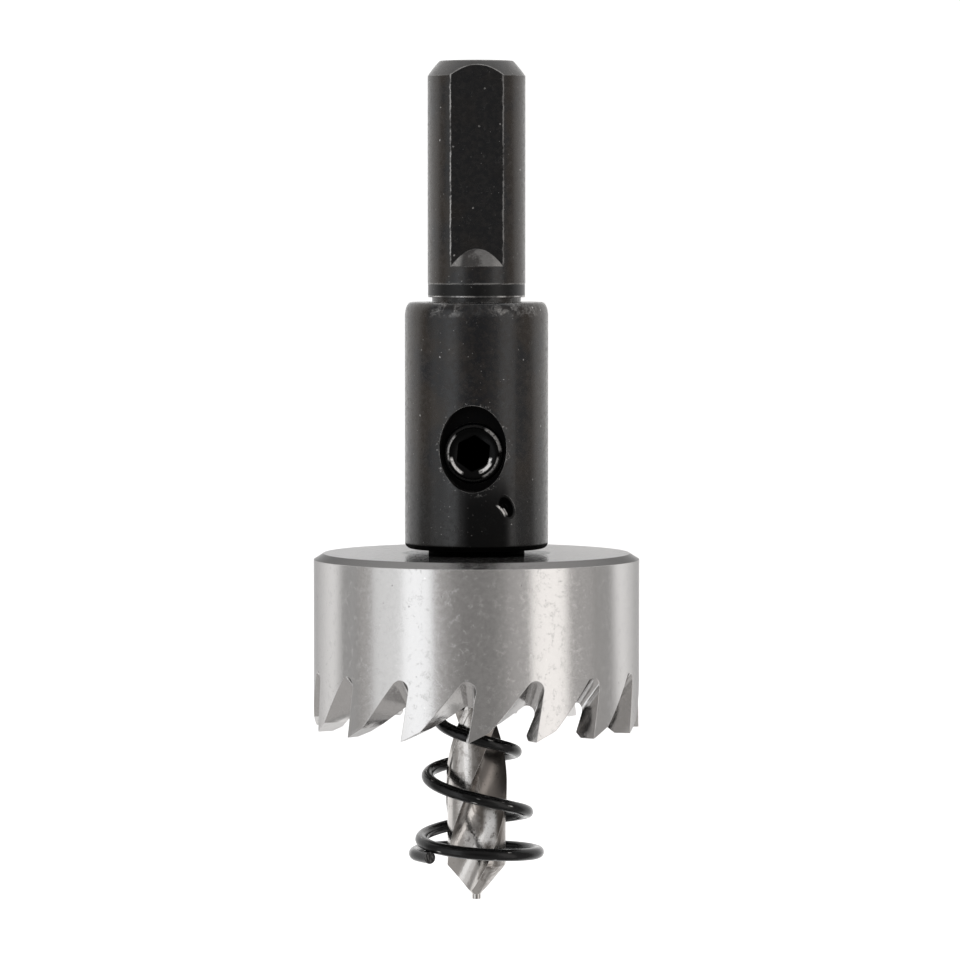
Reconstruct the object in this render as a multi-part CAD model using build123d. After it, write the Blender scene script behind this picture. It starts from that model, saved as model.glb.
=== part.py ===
from build123d import *
import os
from math import asin, atan, atan2, cos, degrees, hypot, pi, radians, sin, sqrt, tan

# A small hole saw: a toothed cup on a three-flat arbor, with a pilot drill that a set screw
# holds and a conical spring that pushes the cut plug out. Millimetres and degrees.
# The tool is modelled upright: its axis is Z, the drill's tip is at zero and the shank is on
# top. An azimuth is counted about the axis from the front (-Y) towards +X. The last section
# lays the whole tool down as it comes to rest, on the cup's rim and the shank's end.

# Running and seating clearances
FIT_CLEARANCE = 0.02          # radial, between a bore and what is pressed or screwed in it
SEAT_CLEARANCE = 0.01         # axial, where a curved wire bears on a flat face

# Cutter cup
CUP_DIAMETER = 26.0
CUP_HEIGHT = 14.0
CUP_WALL = 1.85
CUP_PLATE = 3.0               # thickness of the closed end
CUP_EDGE_WIDTH = 0.77         # chamfer round the closed end, across
CUP_EDGE_HEIGHT = 0.48        # and down
CUP_INNER_CORNER = 0.8

# Teeth, as sizes along the cup's outer surface
TOOTH_COUNT = 15
TOOTH_AZIMUTH = -3.0          # of the cutting tip nearest the front
LAND_LENGTH = 1.7             # from a tip back to its heel
LAND_RISE = 0.85
LAND_OVERRUN = 1.04           # how far past the heel the relief is ground, as a ratio
RAKE_SKEW = 9.0               # the inner end of a cutting edge leads its outer corner
LAND_BEVEL_WIDTH = 0.62       # bevel along the inner third of each land
LAND_BEVEL_HEIGHT = 0.42
GULLET_RADIUS = 0.75
GULLET_DEPTH = 4.83           # from the tips to the gullet's roof, outside
GULLET_OFFSET = 0.075         # from the next tip back to the gullet's centre
GULLET_INNER_DEPTH = 2.75     # the roof is ground on a slant and comes lower inside
GULLET_INNER_RADIUS = 0.65

# Pilot drill
DRILL_DIAMETER = 4.87
DRILL_REACH = 13.75           # tip beyond the teeth
DRILL_LENGTH = 44.0
DRILL_WEB = 1.2
DRILL_FLUTE_ANGLE = 102.0     # taken out of the circle by each flute
DRILL_FLUTE_LENGTH = 20.0
DRILL_FLUTE_RUNOUT = 5.0
DRILL_FLUTE_AZIMUTH = -63.0   # of one flute's centre at the tip
DRILL_LEAD = 33.0             # right-hand helix, axial travel in one turn
DRILL_MARGIN = 0.5
DRILL_LAND_RELIEF = 0.1
POINT_HEIGHT = 2.87           # from the tip to the shoulder
CHISEL_WIDTH = 0.7            # squared nub at the tip
CHISEL_HEIGHT = 0.38
DRILL_END_CHAMFER = 0.3

# Arbor
SHANK_DIAMETER = 7.78
SHANK_LENGTH = 19.15          # from the collar to the end
SHANK_END_WIDTH = 0.95        # chamfer at the end, across
SHANK_END_HEIGHT = 1.2        # and along
SHANK_END_CROWN = 0.03        # how far that chamfer bulges
SHANK_ROOT_LENGTH = 1.08      # fine-turned stretch next to the collar
SHANK_ROOT_RELIEF = 0.03
UNDERCUT_WIDTH = 0.4
UNDERCUT_DEPTH = 0.35
FLAT_COUNT = 3
FLAT_DISTANCE = 3.28          # from the axis
FLAT_AZIMUTH = 0.8
FLAT_LENGTH = 14.9            # along the middle of a flat
FLAT_RUNOUT_ANGLE = 22.8      # to the axis, where the flats run out round the shank
FLAT_RUNOUT_CROWN = 0.02      # how far the run-out bulges
COLLAR_DIAMETER = 11.42
COLLAR_LENGTH = 19.62
COLLAR_TOP_WIDTH = 0.5        # rounding of the top shoulder, across
COLLAR_TOP_HEIGHT = 1.1       # and down
COLLAR_BOTTOM_RADIUS = 0.5
NECK_DIAMETER = 7.65          # passes through the cup's plate
NECK_GAP = 0.39               # between the collar and the cup
RIVET_DIAMETER = 9.4          # head upset against the plate from inside
RIVET_HEIGHT = 0.6
BORE_POINT_ANGLE = 118.0      # of the bore's blind end
BORE_END_GAP = 0.8            # left above the drill

# Set screw and its seat in the collar
SCREW_DIAMETER = 4.8           # over the thread's crests
SCREW_LENGTH = 2.7
SCREW_AZIMUTH = -3.2
SCREW_ABOVE_COLLAR_BASE = 7.75
SCREW_FACE_BEVEL = 0.42
SOCKET_ACROSS_FLATS = 2.5
SOCKET_DEPTH = 1.5
SOCKET_TURN = -5.0
SOCKET_SINK_DIAMETER = 3.3     # countersink at the socket's mouth
SOCKET_SINK_ANGLE = 120.0
DRILL_FLAT_DISTANCE = 1.9     # ground on the drill for the screw
DRILL_FLAT_LENGTH = 7.0
SLOT_WIDTH = 5.3              # oval recess round the screw
SLOT_HEIGHT = 6.85
SLOT_FLOOR = 3.95             # from the axis
SLOT_RAISE = 0.38             # of its middle above the screw

# Nick knocked into the collar below the screw
NICK_AZIMUTH = 24.8
NICK_ABOVE_COLLAR_BASE = 3.55
NICK_WIDTH = 1.25
NICK_LENGTH = 2.0
NICK_DEPTH = 0.4
NICK_LEAN = 33.0
NICK_BOTTOM = 0.3             # its bottom's size, as a share of its mouth's

# Ejector spring, left-hand, from its free end up: (turns, height, mean radius) of the wire
WIRE_DIAMETER = 0.97
SPRING_END_AZIMUTH = -48.0
SPRING_SHAPE = (
    (0.00, 3.68, 4.97), (0.12, 3.67, 4.95), (0.62, 3.76, 4.94), (1.12, 4.86, 4.43),
    (1.62, 7.00, 4.07), (2.12, 9.95, 3.92), (2.62, 11.85, 3.15), (3.12, 14.45, 3.00),
)
SPRING_PITCH = 4.7            # of the straight coils above the flare
SPRING_CLOSED_TURNS = 1.0
SPRING_STEPS = 12             # path points in one turn

CUT_MARGIN = 1.0              # how far cutting tools reach past the stock

# Radii and levels that follow from the sizes above
cup_radius = CUP_DIAMETER / 2
cup_inner_radius = cup_radius - CUP_WALL
drill_radius = DRILL_DIAMETER / 2
shank_radius = SHANK_DIAMETER / 2
collar_radius = COLLAR_DIAMETER / 2
neck_radius = NECK_DIAMETER / 2
screw_radius = SCREW_DIAMETER / 2
wire_radius = WIRE_DIAMETER / 2
bore_radius = drill_radius + FIT_CLEARANCE

teeth_z = DRILL_REACH
cup_top_z = teeth_z + CUP_HEIGHT
cup_ceiling_z = cup_top_z - CUP_PLATE
collar_base_z = cup_top_z + NECK_GAP
collar_top_z = collar_base_z + COLLAR_LENGTH
shank_end_z = collar_top_z + SHANK_LENGTH
arbor_foot_z = cup_ceiling_z - RIVET_HEIGHT
screw_z = collar_base_z + SCREW_ABOVE_COLLAR_BASE
flats_end_z = shank_end_z - FLAT_LENGTH


def turned(*outline):
    """A solid of revolution about the axis from a closed outline of (radius, height)."""
    return revolve(Plane.XZ * make_face(Polyline(*outline, close=True)), Axis.Z)


def toward(azimuth):
    """Turns what was made at the front round to an azimuth."""
    return Rot(0, 0, azimuth)


def bowed(start, end, crown):
    """Line between two points of an outline that bulges to its right by a crown."""
    across, up = end[0] - start[0], end[1] - start[1]
    length = hypot(across, up)
    middle = ((start[0] + end[0]) / 2 + crown * up / length,
              (start[1] + end[1]) / 2 - crown * across / length)
    return ThreePointArc(start, middle, end)


def front_plane(distance, height=0.0):
    """Upright plane in front of the axis, with X to the right and Y up."""
    return Plane(origin=(0, -distance, height), x_dir=(1, 0, 0), z_dir=(0, -1, 0))


def tangent_point(start, centre, radius, side):
    """Where a line from start touches a circle, on its left (side 1) or right (-1)."""
    across, up = centre[0] - start[0], centre[1] - start[1]
    reach = hypot(across, up)
    bearing = atan2(up, across) + side * asin(radius / reach)
    run = sqrt(reach ** 2 - radius ** 2)
    return start[0] + run * cos(bearing), start[1] + run * sin(bearing)


# ---------------------------------------------------------------- cutter cup

def edge_offset(distance, azimuth):
    """Across from the front, where a cutting edge at an azimuth meets an upright plane."""
    return distance * tan(radians(azimuth)) - (cup_radius - distance) * tan(radians(RAKE_SKEW))


def gullet_section(distance, centre_azimuth, tooth_pitch):
    """One gullet's outline in a plane in front of the axis, heights from the tips.

    Straight lines lead from the heel of one tooth and from the next tip to a round roof.
    Widths shrink towards the axis and the roof follows its slant.
    """
    inward = (cup_radius - distance) / CUP_WALL
    radius = GULLET_RADIUS + inward * (GULLET_INNER_RADIUS - GULLET_RADIUS)
    outer_centre = GULLET_DEPTH - GULLET_RADIUS
    inner_centre = GULLET_INNER_DEPTH - GULLET_INNER_RADIUS
    centre = (0.0, outer_centre + inward * (inner_centre - outer_centre))
    heel_azimuth = degrees(LAND_LENGTH / cup_radius) - centre_azimuth
    heel = (distance * tan(radians(heel_azimuth)), LAND_RISE)
    tip = (edge_offset(distance, tooth_pitch - centre_azimuth), 0.0)
    flank_top = tangent_point(heel, centre, radius, 1)
    face_top = tangent_point(tip, centre, radius, -1)
    roof = ThreePointArc(flank_top, (centre[0], centre[1] + radius), face_top)
    rest = Polyline(face_top, tip, (tip[0], -CUT_MARGIN), (heel[0], -CUT_MARGIN), heel, flank_top)
    return front_plane(distance, teeth_z) * make_face([roof, rest])


def land_section(distance, centre_azimuth):
    """The wedge taken off behind a cutting tip, in a plane in front of the axis."""
    end_azimuth = degrees(LAND_OVERRUN * LAND_LENGTH / cup_radius) - centre_azimuth
    start = edge_offset(distance, -centre_azimuth)
    end = distance * tan(radians(end_azimuth))
    outline = Polyline((start, 0), (end, LAND_OVERRUN * LAND_RISE), (end, -CUT_MARGIN),
                       (start, -CUT_MARGIN), close=True)
    return front_plane(distance, teeth_z) * make_face(outline)


def tooth_cutters():
    """What is ground away between two tips: a slanted gullet and the relief of a land."""
    tooth_pitch = 360 / TOOTH_COUNT
    gullet_azimuth = tooth_pitch - degrees(GULLET_OFFSET / cup_radius)
    land_azimuth = degrees(LAND_LENGTH / cup_radius) / 2
    near, far = cup_radius + CUT_MARGIN, cup_inner_radius - CUT_MARGIN / 2
    gullet = loft([gullet_section(near, gullet_azimuth, tooth_pitch),
                   gullet_section(far, gullet_azimuth, tooth_pitch)], ruled=True)
    land = loft([land_section(near, land_azimuth), land_section(far, land_azimuth)], ruled=True)
    return toward(gullet_azimuth) * gullet, toward(land_azimuth) * land


def cutter_cup():
    """Turned cup with a bored plate, bevelled lands and a ring of ground teeth."""
    plate_bore = neck_radius + FIT_CLEARANCE
    wall = turned(
        (plate_bore, cup_top_z), (cup_radius - CUP_EDGE_WIDTH, cup_top_z),
        (cup_radius, cup_top_z - CUP_EDGE_HEIGHT), (cup_radius, teeth_z),
        (cup_inner_radius + LAND_BEVEL_WIDTH, teeth_z),
        (cup_inner_radius, teeth_z + LAND_BEVEL_HEIGHT),
        (cup_inner_radius, cup_ceiling_z), (plate_bore, cup_ceiling_z))
    ceiling_edge = wall.edges().filter_by(
        lambda edge: abs(edge.center(CenterOf.BOUNDING_BOX).Z - cup_ceiling_z) < FIT_CLEARANCE
        and edge.length > 2 * pi * (cup_inner_radius - FIT_CLEARANCE))
    wall = fillet(ceiling_edge, CUP_INNER_CORNER)
    cutters = []
    for index in range(TOOTH_COUNT):
        turn = toward(TOOTH_AZIMUTH + index * 360 / TOOTH_COUNT)
        cutters += [turn * cutter for cutter in tooth_cutters()]
    return wall - cutters


# ---------------------------------------------------------------- pilot drill

def polar_point(radius, angle):
    return radius * cos(radians(angle)), radius * sin(radians(angle))


def drill_section():
    """Two lands with margins and two flutes, the flutes opening along X."""
    half_flute = DRILL_FLUTE_ANGLE / 2
    margin_end = half_flute + degrees(DRILL_MARGIN / drill_radius)
    heel = 180 - half_flute
    body_radius = drill_radius - DRILL_LAND_RELIEF
    edges = []
    for turn in (0, 180):
        lip = polar_point(drill_radius, turn + half_flute)
        margin_top = polar_point(drill_radius, turn + margin_end)
        margin_foot = polar_point(body_radius, turn + margin_end)
        heel_point = polar_point(body_radius, turn + heel)
        next_lip = polar_point(drill_radius, turn + 180 + half_flute)
        edges += [
            ThreePointArc(lip, polar_point(drill_radius, turn + (half_flute + margin_end) / 2),
                          margin_top),
            Line(margin_top, margin_foot),
            ThreePointArc(margin_foot, polar_point(body_radius, turn + (margin_end + heel) / 2),
                          heel_point),
            ThreePointArc(heel_point, polar_point(DRILL_WEB / 2, turn + 180), next_lip),
        ]
    return make_face(edges)


def pilot_drill():
    """Two-flute twist drill with a steep point, a squared chisel and a plain shank."""
    start_turn = DRILL_FLUTE_AZIMUTH - 90
    section = Rot(0, 0, start_turn) * drill_section()
    flutes_top = DRILL_FLUTE_LENGTH + DRILL_FLUTE_RUNOUT
    fluted = Solid.extrude_linear_with_rotation(
        section.face(), (0, 0, 0), (0, 0, flutes_top), 360 * flutes_top / DRILL_LEAD)
    plain = turned(
        (0, DRILL_FLUTE_LENGTH), (DRILL_WEB / 2, DRILL_FLUTE_LENGTH),
        (drill_radius, flutes_top), (drill_radius, DRILL_LENGTH - DRILL_END_CHAMFER),
        (drill_radius - DRILL_END_CHAMFER, DRILL_LENGTH), (0, DRILL_LENGTH))
    outside = drill_radius + CUT_MARGIN
    point_waste = turned(
        (CHISEL_WIDTH / 2, -CUT_MARGIN), (CHISEL_WIDTH / 2, CHISEL_HEIGHT),
        (drill_radius, POINT_HEIGHT), (outside, POINT_HEIGHT + CUT_MARGIN),
        (outside, -CUT_MARGIN))
    flat = Pos(0, -DRILL_FLAT_DISTANCE, screw_z) * Box(
        DRILL_DIAMETER, drill_radius, DRILL_FLAT_LENGTH, align=(Align.CENTER, Align.MAX, Align.CENTER))
    return fluted + plain - point_waste - toward(SCREW_AZIMUTH) * flat


# ---------------------------------------------------------------- arbor

def shank_flats():
    """The three flats, which run out in one bowed cone round the shank."""
    side = 2 * SHANK_DIAMETER
    reach = shank_radius - FLAT_DISTANCE + UNDERCUT_DEPTH
    drop = reach / tan(radians(FLAT_RUNOUT_ANGLE))
    slab = Pos(0, -FLAT_DISTANCE, flats_end_z - drop) * Box(
        side, side, 2 * FLAT_LENGTH, align=(Align.CENTER, Align.MAX, Align.MIN))
    high, low = (FLAT_DISTANCE, flats_end_z), (FLAT_DISTANCE + reach, flats_end_z - drop)
    outline = [bowed(low, high, FLAT_RUNOUT_CROWN),
               Polyline(high, (0, flats_end_z), (0, flats_end_z - drop), low)]
    cone = revolve(Plane.XZ * make_face(outline), Axis.Z)
    return [toward(FLAT_AZIMUTH + index * 360 / FLAT_COUNT) * (slab - cone)
            for index in range(FLAT_COUNT)]


def screw_seat():
    """Tapped hole into the bore and the oval recess round it."""
    hole = front_plane(0, screw_z) * extrude(Circle(screw_radius + FIT_CLEARANCE), collar_radius)
    oval = Ellipse(SLOT_WIDTH / 2, SLOT_HEIGHT / 2)
    slot = front_plane(SLOT_FLOOR, screw_z + SLOT_RAISE) * extrude(oval, collar_radius)
    return toward(SCREW_AZIMUTH) * (hole + slot)


def nick():
    """A small slanted bruise in the collar's surface, oval and coming to a narrow bottom."""
    reach = NICK_DEPTH + CUT_MARGIN / 4
    spread = reach / NICK_DEPTH
    bottom = front_plane(collar_radius - NICK_DEPTH, collar_base_z + NICK_ABOVE_COLLAR_BASE)
    lean = Rot(0, 0, NICK_LEAN)
    sections = [plane * lean * Ellipse(share * NICK_WIDTH / 2, share * NICK_LENGTH / 2)
                for plane, share in ((bottom, NICK_BOTTOM), (bottom.offset(reach), spread))]
    return toward(NICK_AZIMUTH) * loft(sections, ruled=True)


def arbor():
    """Turned body: neck with its rivet head, collar, undercut and shank."""
    root_radius = shank_radius - SHANK_ROOT_RELIEF
    undercut_top = collar_top_z + UNDERCUT_WIDTH
    outline = [
        Polyline(
            (0, arbor_foot_z), (RIVET_DIAMETER / 2, arbor_foot_z),
            (RIVET_DIAMETER / 2, cup_ceiling_z), (neck_radius, cup_ceiling_z),
            (neck_radius, collar_base_z), (collar_radius - COLLAR_BOTTOM_RADIUS, collar_base_z)),
        RadiusArc(
            (collar_radius - COLLAR_BOTTOM_RADIUS, collar_base_z),
            (collar_radius, collar_base_z + COLLAR_BOTTOM_RADIUS), -COLLAR_BOTTOM_RADIUS),
        Line((collar_radius, collar_base_z + COLLAR_BOTTOM_RADIUS),
             (collar_radius, collar_top_z - COLLAR_TOP_HEIGHT)),
        EllipticalCenterArc(
            (collar_radius - COLLAR_TOP_WIDTH, collar_top_z - COLLAR_TOP_HEIGHT),
            COLLAR_TOP_WIDTH, COLLAR_TOP_HEIGHT, start_angle=0, arc_size=90),
        Polyline(
            (collar_radius - COLLAR_TOP_WIDTH, collar_top_z),
            (shank_radius - UNDERCUT_DEPTH, collar_top_z),
            (shank_radius - UNDERCUT_DEPTH, undercut_top), (root_radius, undercut_top),
            (root_radius, undercut_top + SHANK_ROOT_LENGTH - SHANK_ROOT_RELIEF),
            (shank_radius, undercut_top + SHANK_ROOT_LENGTH),
            (shank_radius, shank_end_z - SHANK_END_HEIGHT)),
        bowed((shank_radius, shank_end_z - SHANK_END_HEIGHT),
              (shank_radius - SHANK_END_WIDTH, shank_end_z), SHANK_END_CROWN),
        Polyline((shank_radius - SHANK_END_WIDTH, shank_end_z), (0, shank_end_z),
                 (0, arbor_foot_z)),
    ]
    blank = revolve(Plane.XZ * make_face(outline), Axis.Z)
    bore_end_z = DRILL_LENGTH + BORE_END_GAP
    bore_point = bore_radius / tan(radians(BORE_POINT_ANGLE / 2))
    bore = turned((0, arbor_foot_z - CUT_MARGIN), (bore_radius, arbor_foot_z - CUT_MARGIN),
                  (bore_radius, bore_end_z), (0, bore_end_z + bore_point))
    return blank - [bore, screw_seat(), nick(), *shank_flats()]


# ---------------------------------------------------------------- set screw

def set_screw():
    """Flat-point grub screw with a hexagon socket, bearing on the drill's flat."""
    point_bevel = SCREW_FACE_BEVEL
    body = turned(
        (0, 0), (screw_radius - point_bevel, 0), (screw_radius, point_bevel),
        (screw_radius, SCREW_LENGTH - SCREW_FACE_BEVEL),
        (screw_radius - SCREW_FACE_BEVEL, SCREW_LENGTH), (0, SCREW_LENGTH))
    hexagon = RegularPolygon(SOCKET_ACROSS_FLATS / 2, 6, major_radius=False, rotation=SOCKET_TURN)
    socket = Pos(0, 0, SCREW_LENGTH - SOCKET_DEPTH) * extrude(hexagon, SCREW_LENGTH)
    sink_radius = SOCKET_SINK_DIAMETER / 2
    sink_depth = sink_radius / tan(radians(SOCKET_SINK_ANGLE / 2))
    sink = turned((0, SCREW_LENGTH - sink_depth), (sink_radius, SCREW_LENGTH),
                  (0, SCREW_LENGTH))
    screw = front_plane(DRILL_FLAT_DISTANCE, screw_z) * (body - socket - sink)
    return toward(SCREW_AZIMUTH) * screw


# ---------------------------------------------------------------- ejector spring

def spring_stations():
    """The measured flare, then even coils and a closed coil up to the arbor's foot."""
    turns, height, radius = SPRING_SHAPE[-1]
    top = arbor_foot_z - wire_radius - SEAT_CLEARANCE
    closed_rise = SPRING_CLOSED_TURNS * WIRE_DIAMETER
    open_turns = (top - closed_rise - height) / SPRING_PITCH
    stations = list(SPRING_SHAPE)
    stations.append((turns + open_turns / 2, height + (top - closed_rise - height) / 2, radius))
    stations.append((turns + open_turns, top - closed_rise, radius))
    stations.append((turns + open_turns + SPRING_CLOSED_TURNS, top, radius))
    return stations


def between(stations, turns, column):
    """Smooth value at a number of turns: cubic pieces with the stations' mean slopes."""
    last = len(stations) - 1
    index = max(i for i in range(last) if stations[i][0] <= turns or i == 0)

    def slope(i):
        before, after = stations[max(i - 1, 0)], stations[min(i + 1, last)]
        return (after[column] - before[column]) / (after[0] - before[0])

    start, end = stations[index], stations[index + 1]
    span = end[0] - start[0]
    part = (turns - start[0]) / span
    return (start[column] * (1 + 2 * part) * (1 - part) ** 2
            + end[column] * part ** 2 * (3 - 2 * part)
            + span * slope(index) * part * (1 - part) ** 2
            - span * slope(index + 1) * part ** 2 * (1 - part))


def ejector_spring():
    """Round wire wound left-hand, flared at its free end."""
    stations = spring_stations()
    total = stations[-1][0]
    steps = round(total * SPRING_STEPS)
    points = []
    for step in range(steps + 1):
        turns = total * step / steps
        bearing = radians(SPRING_END_AZIMUTH - 90 - 360 * turns)
        radius = between(stations, turns, 2)
        points.append((radius * cos(bearing), radius * sin(bearing), between(stations, turns, 1)))
    path = Spline(*points)
    section = Plane(origin=path @ 0, z_dir=path % 0) * Circle(wire_radius)
    return sweep(section, path, is_frenet=True)


# ---------------------------------------------------------------- at rest

def laid_down(pieces):
    """Lies on the cup's rim and the shank's end, the screw on top, over the origin."""
    rim_z = cup_top_z - CUP_EDGE_HEIGHT
    end_z = shank_end_z - SHANK_END_HEIGHT
    lean = degrees(atan((cup_radius - shank_radius) / (end_z - rim_z)))
    down = Rot(-90 - lean, 0, 0)
    box = Compound([down * piece for piece in pieces.values()]).bounding_box()
    shift = Pos(-box.center().X, -box.center().Y, -box.min.Z)
    return {name: shift * down * piece for name, piece in pieces.items()}


def main():
    upright = {
        "arbor": arbor(),
        "cutter_cup": cutter_cup(),
        "pilot_drill": pilot_drill(),
        "set_screw": set_screw(),
        "ejector_spring": ejector_spring(),
    }
    os.makedirs("parts", exist_ok=True)
    for name, piece in laid_down(upright).items():
        export_step(piece, f"parts/{name}.step")


main()
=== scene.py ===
"""A small hole saw with its arbor, pilot drill, set screw and ejector spring, in a plain studio.

The solids come packed as a fixed frame. The turned arbor, the toothed cup and the drill keep their
solids and get their finishes here. The spring and the set screw are remade: the spring's wire is
swept along its path, and the screw gets its thread.
Lengths are millimetres in the tool's own space, where the axis is Z, the drill's tip is at zero, the
shank is on top and the set screw looks to the front (-Y). The tool lies down in the scene.
"""

from math import atan, cos, pi, radians, sin, tan

import bpy
from bpy.props import FloatProperty, FloatVectorProperty, IntProperty, PointerProperty
from mathutils import Matrix, Vector


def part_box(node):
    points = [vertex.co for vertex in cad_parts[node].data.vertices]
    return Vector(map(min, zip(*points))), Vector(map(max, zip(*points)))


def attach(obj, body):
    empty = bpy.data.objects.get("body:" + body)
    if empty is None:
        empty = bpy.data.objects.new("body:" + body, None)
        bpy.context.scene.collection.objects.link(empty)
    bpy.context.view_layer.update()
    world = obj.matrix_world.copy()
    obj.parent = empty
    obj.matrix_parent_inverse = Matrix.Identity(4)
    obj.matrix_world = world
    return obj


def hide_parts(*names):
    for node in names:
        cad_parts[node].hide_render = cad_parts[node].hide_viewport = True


bl_info = {
    "name": "Hole saw",
    "version": (1, 0, 0),
    "blender": (4, 5, 0),
    "location": "View3D > Sidebar > Hole saw",
    "description": "Finishes, wire spring, set screw and studio for a hole saw with its arbor",
    "category": "Object",
}

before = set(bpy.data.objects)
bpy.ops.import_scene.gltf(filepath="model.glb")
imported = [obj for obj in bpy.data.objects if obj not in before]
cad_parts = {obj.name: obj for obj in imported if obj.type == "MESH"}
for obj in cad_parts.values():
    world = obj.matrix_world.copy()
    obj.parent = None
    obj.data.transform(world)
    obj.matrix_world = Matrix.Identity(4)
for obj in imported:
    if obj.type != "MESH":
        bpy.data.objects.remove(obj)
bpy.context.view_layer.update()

MM = 0.001
BODY = "root"

# Sizes of the solids that the finishes and the remade pieces follow
CUP_RADIUS = 13.0
CUP_TOP_Z = 27.75
CUP_EDGE_HEIGHT = 0.48
COLLAR_BASE_Z = 28.14
COLLAR_TOP_Z = 47.76
COLLAR_RADIUS = 5.71
SHANK_RADIUS = 3.89
SHANK_END_Z = 66.91
SHANK_END_HEIGHT = 1.2
SHANK_END_WIDTH = 0.95
FLAT_AZIMUTH = 0.8
FLAT_DISTANCE = 3.28
SHANK_ROOT_TOP_Z = 49.24
UNDERCUT_TOP_Z = 48.16
FLATS_END_Z = 52.01
ARBOR_FOOT_Z = 24.15
SCREW_Z = 35.89
SCREW_AZIMUTH = -3.2
SCREW_RADIUS = 2.4
SCREW_LENGTH = 2.7
SCREW_BEVEL = 0.42
SLOT_WIDTH = 5.3
SLOT_HEIGHT = 6.85
SLOT_RAISE = 0.38
SOCKET_DEPTH = 1.5
SOCKET_TURN = -5.0
SOCKET_SINK_RADIUS = 1.65
SOCKET_SINK_ANGLE = 120.0
DRILL_FLAT_DISTANCE = 1.9
NICK_Z = 31.69

# The pit's painted highlight on its flank: its middle, and the pit's slant as shares across and up
NICK_GLINT_X = 2.02
NICK_GLINT_Z = 31.17
NICK_SLANT = (0.864, 0.504)

# The spring's wire, left-hand, from its free end up: (turns, height, mean radius)
SPRING_END_AZIMUTH = -48.0
SPRING_SHAPE = (
    (0.00, 3.68, 4.97), (0.12, 3.67, 4.95), (0.62, 3.76, 4.94), (1.12, 4.86, 4.43),
    (1.62, 7.00, 4.07), (2.12, 9.95, 3.92), (2.62, 11.85, 3.15), (3.12, 14.45, 3.00),
)
SPRING_PITCH = 4.7
SPRING_WIRE = 0.97
SPRING_SEAT = 0.01
SPRING_STEPS = 12

# Painted highlights on the drill's front: x, z, half width, blur, half height, strength
DRILL_GLINTS = (
    (-0.62, 10.7, 0.1, 0.28, 1.3, 0.75), (1.57, 10.5, 0.12, 0.25, 0.2, 0.9),
    (1.1, 5.9, 0.22, 0.45, 1.0, 0.95), (-0.55, 4.8, 0.35, 0.3, 0.4, 0.85),
)

# Where the flats' long edges are rubbed bright: azimuth and strength
ARRIS_WEAR = ((-32.0, 1.0), (33.0, 0.5), (88.0, 0.4), (153.0, 0.7), (-152.0, 0.5), (-87.0, 0.6))

# Where the collar's shoulder is rubbed bright: azimuth and half width
SHOULDER_WEAR = ((-27.0, 9.0), (34.0, 16.0), (122.0, 20.0), (-118.0, 26.0))

# Bright arcs on the set screw: radius, half width, middle, half angle, strength
SCREW_WEAR = (
    (2.13, 0.05, 34.0, 24.0, 1.0), (2.0, 0.03, 166.0, 26.0, 0.6), (1.77, 0.06, 216.0, 20.0, 1.0),
    (1.55, 0.08, -50.0, 16.0, 1.0), (1.42, 0.06, -27.0, 7.0, 1.0), (1.98, 0.03, -38.0, 24.0, 0.5),
)

# The thread's groove: how steep its flanks are, and the share of its depth lost to the crest
THREAD_STEEPNESS = 1.25
THREAD_CREST = 0.2

# Cosines of the normal's turn in a rounded edge: where an edge starts to count, and counts fully
EDGE_START = 0.9965
EDGE_FULL = 0.962

# Studio, in metres
FLOOR_REACH = 3.0
LAMP_DISTANCE = 0.55
LAMP_LENGTH = 0.8
CAMERA_ASIDE = 0.28           # of the tool's axis, in millimetres
SENSOR_WIDTH = 36.0           # of the camera, in millimetres

# How the tool lies: on the cup's rim and the shank's end
LEAN = atan((CUP_RADIUS - SHANK_RADIUS)
            / (SHANK_END_Z - SHANK_END_HEIGHT - CUP_TOP_Z + CUP_EDGE_HEIGHT))
LYING_TURN = -(pi / 2 + LEAN)


def tip_place():
    """Where the drill's tip lies in the scene, in millimetres."""
    turn = Matrix.Rotation(LYING_TURN, 4, "X")
    rim = turn @ Vector((0.0, CUP_RADIUS, CUP_TOP_Z - CUP_EDGE_HEIGHT))
    far_end = turn @ Vector((0.0, SHANK_END_WIDTH - SHANK_RADIUS, SHANK_END_Z))
    return Vector((0.0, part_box("arbor")[1][1] / MM - far_end.y, -rim.z))


def tool_to_scene():
    """Takes the tool's own millimetres to the scene's metres."""
    return (Matrix.Scale(MM, 4) @ Matrix.Translation(tip_place())
            @ Matrix.Rotation(LYING_TURN, 4, "X"))


# ------------------------------------------------------------------ node recipes

class Recipe:
    """Nodes of one tree, added by short calls that return sockets."""

    def __init__(self, tree):
        self.tree = tree
        tree.nodes.clear()

    @classmethod
    def on(cls, tree):
        """Adds to a tree's nodes instead of clearing them."""
        recipe = cls.__new__(cls)
        recipe.tree = tree
        return recipe

    def add(self, kind, inputs=None, **settings):
        node = self.tree.nodes.new(kind)
        for name, value in settings.items():
            setattr(node, name, value)
        for name, value in (inputs or {}).items():
            self.feed(node.inputs[name], value)
        return node

    def feed(self, socket, value):
        if isinstance(value, bpy.types.NodeSocket):
            self.tree.links.new(value, socket)
        else:
            socket.default_value = value

    def math(self, operation, *values, clamp=False):
        inputs = dict(enumerate(values))
        return self.add("ShaderNodeMath", inputs, operation=operation, use_clamp=clamp).outputs[0]

    def vector(self, operation, *values):
        return self.add("ShaderNodeVectorMath", dict(enumerate(values)), operation=operation)

    def split(self, vector):
        return self.add("ShaderNodeSeparateXYZ", {0: vector}).outputs


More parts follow.
